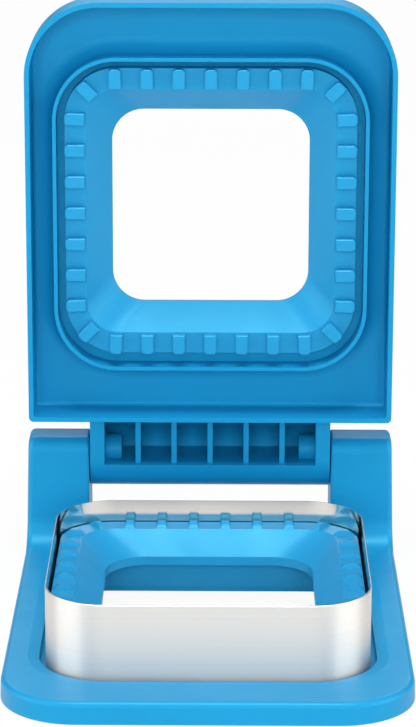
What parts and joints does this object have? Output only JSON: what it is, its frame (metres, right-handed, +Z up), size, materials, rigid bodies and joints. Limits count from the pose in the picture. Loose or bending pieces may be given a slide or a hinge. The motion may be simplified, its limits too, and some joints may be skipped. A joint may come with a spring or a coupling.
{
  "type": "sandwich cutter and sealer",
  "caption": "Hand-pressed sandwich cutter and sealer: blue moulded base with a square steel cutter band and ribbed crimping die, under a hinged lid with a toothed crimping ring, shown open.",
  "frame": {"origin": "centre of the bounding box, at the table, lid standing open", "axes": "+X to the right seen from the front and square to the mirror plane, +Y towards the hinge, +Z up"},
  "size_m": [0.113, 0.1516, 0.1742],
  "materials": {
    "blue_plastic": "gloss",
    "cutter_steel": "polished",
    "plated_steel": "satin",
    "foot_rubber": "matte"
  },
  "bodies": {
    "base": {"base_shell": "blue_plastic", "cutter_band": "cutter_steel", "lower_crimp_die": "blue_plastic", "die_screws": "plated_steel", "foot_front_left": "foot_rubber", "foot_front_right": "foot_rubber", "foot_back_left": "foot_rubber", "foot_back_right": "foot_rubber", "hinge_pin_left": "plated_steel", "hinge_pin_right": "plated_steel"},
    "lid": {"lid_shell": "blue_plastic", "upper_crimp_ring": "blue_plastic", "ring_screws": "plated_steel"}
  },
  "joints": [
    {"name": "lid_hinge", "type": "hinge", "parent": "base", "child": "lid", "pos_m": [0, 0.06467, 0.03355], "axis": [1, 0, 0], "range_deg": [-15, 90]}
  ]
}
